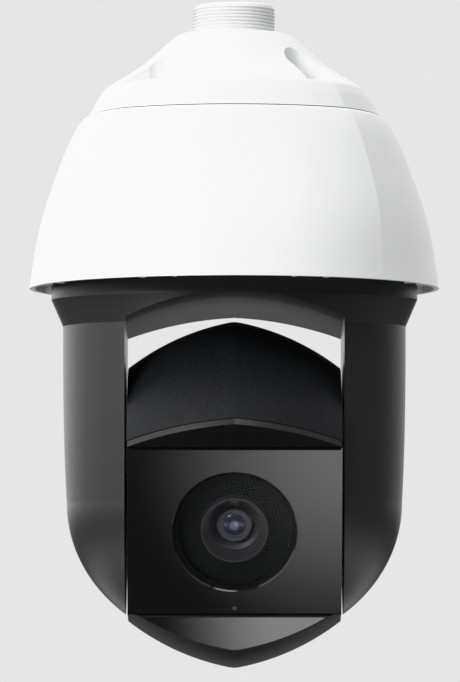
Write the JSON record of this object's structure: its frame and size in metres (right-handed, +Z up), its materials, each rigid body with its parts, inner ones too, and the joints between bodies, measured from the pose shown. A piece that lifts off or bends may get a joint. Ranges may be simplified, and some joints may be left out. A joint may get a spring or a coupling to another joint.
{
  "type": "ptz camera",
  "caption": "Pendant dome-style pan and tilt camera: white threaded cap and bell sunshield over a dark fork that carries a rounded head with a round window.",
  "frame": {"origin": "on the pan axis at the flat shoulder of the cap, at the foot of the male thread", "axes": "+Z up along the pan axis out of the thread; -Y is the front the lens faces; +X is the right side seen from the front"},
  "size_m": [0.2436, 0.2436, 0.3945],
  "materials": {
    "white_paint": "satin",
    "white_plastic": "satin",
    "yoke_paint": "satin",
    "head_paint": "fine texture",
    "cast_aluminium": "as cast",
    "steel": "satin",
    "bearing_steel": "polished",
    "rubber": "matte",
    "board": "satin",
    "bronze": "satin",
    "black_plastic": "matte",
    "gloss_black": "gloss",
    "clear_glass": "gloss",
    "lens_glass": "gloss",
    "grey_plastic": "satin",
    "trim_plastic": "satin",
    "hood_plastic": "matte"
  },
  "bodies": {
    "base": {"mount_cap": "white_paint", "cap_screws": "steel", "cable_grommet": "rubber", "sun_shield": "white_plastic", "base_housing": "cast_aluminium", "cap_seal": "rubber", "main_board": "board", "heat_sink": "cast_aluminium", "network_jack": "steel", "base_plate": "cast_aluminium", "base_plate_screws": "steel", "pan_bearing_outer": "bearing_steel", "pan_bearing_balls": "bearing_steel", "chassis_plate": "steel", "chassis_pillars": "steel", "slip_ring_stator": "black_plastic", "pan_motor": "steel", "pan_belt": "rubber"},
    "pan_drive": {"pan_motor_pulley": "cast_aluminium"},
    "yoke": {"pan_bearing_inner": "bearing_steel", "pan_pulley": "cast_aluminium", "pan_hub": "cast_aluminium", "slip_ring_rotor": "bronze", "neck_seal": "rubber", "yoke_frame": "yoke_paint", "yoke_cover_left": "yoke_paint", "yoke_cover_right": "yoke_paint", "cover_screws": "steel", "tilt_bushes": "bronze", "tilt_motor": "steel", "tilt_belt": "rubber", "drive_board": "board", "tilt_cable": "rubber"},
    "tilt_drive": {"tilt_motor_pulley": "cast_aluminium"},
    "head": {"head_front_shell": "head_paint", "head_rear_shell": "head_paint", "head_seal": "rubber", "front_plate": "gloss_black", "sensor_ports": "grey_plastic", "window_glass": "clear_glass", "brow_trim": "trim_plastic", "lens_mask": "black_plastic", "lens_barrel": "black_plastic", "lens_hood": "hood_plastic", "lens_bezel": "grey_plastic", "front_lens": "lens_glass", "guide_rods": "steel", "sensor_board": "board", "camera_bracket": "cast_aluminium", "chin_window": "gloss_black", "lamp_board": "board", "lamps": "clear_glass", "trunnion_left": "steel", "trunnion_right": "steel", "shaft_seals": "rubber", "tilt_pulley": "cast_aluminium"},
    "zoom_group": {"zoom_cell": "black_plastic", "zoom_lens": "lens_glass"},
    "focus_group": {"focus_cell": "black_plastic", "focus_lens": "lens_glass"}
  },
  "joints": [
    {"name": "pan", "type": "hinge", "parent": "base", "child": "yoke", "pos_m": [0, 0, -0.15], "axis": [0, 0, 1], "continuous": true},
    {"name": "pan_motor_spin", "type": "hinge", "parent": "base", "child": "pan_drive", "pos_m": [0, 0.062, -0.122], "axis": [0, 0, 1], "continuous": true},
    {"name": "tilt", "type": "hinge", "parent": "yoke", "child": "head", "pos_m": [0, 0, -0.2743], "axis": [1, 0, 0], "range_deg": [-40, 70]},
    {"name": "tilt_motor_spin", "type": "hinge", "parent": "yoke", "child": "tilt_drive", "pos_m": [0.0846, 0, -0.2123], "axis": [1, 0, 0], "range_deg": [-102, 177]},
    {"name": "zoom", "type": "slide", "parent": "head", "child": "zoom_group", "axis": [0, -0.9397, -0.342], "range_m": [0, 0.009]},
    {"name": "focus", "type": "slide", "parent": "head", "child": "focus_group", "axis": [0, -0.9397, -0.342], "range_m": [-0.001, 0.005]}
  ],
  "couplings": [
    {"joint": "pan_motor_spin", "follows": "pan", "ratio": 4.6667},
    {"joint": "tilt_motor_spin", "follows": "tilt", "ratio": 2.5}
  ]
}
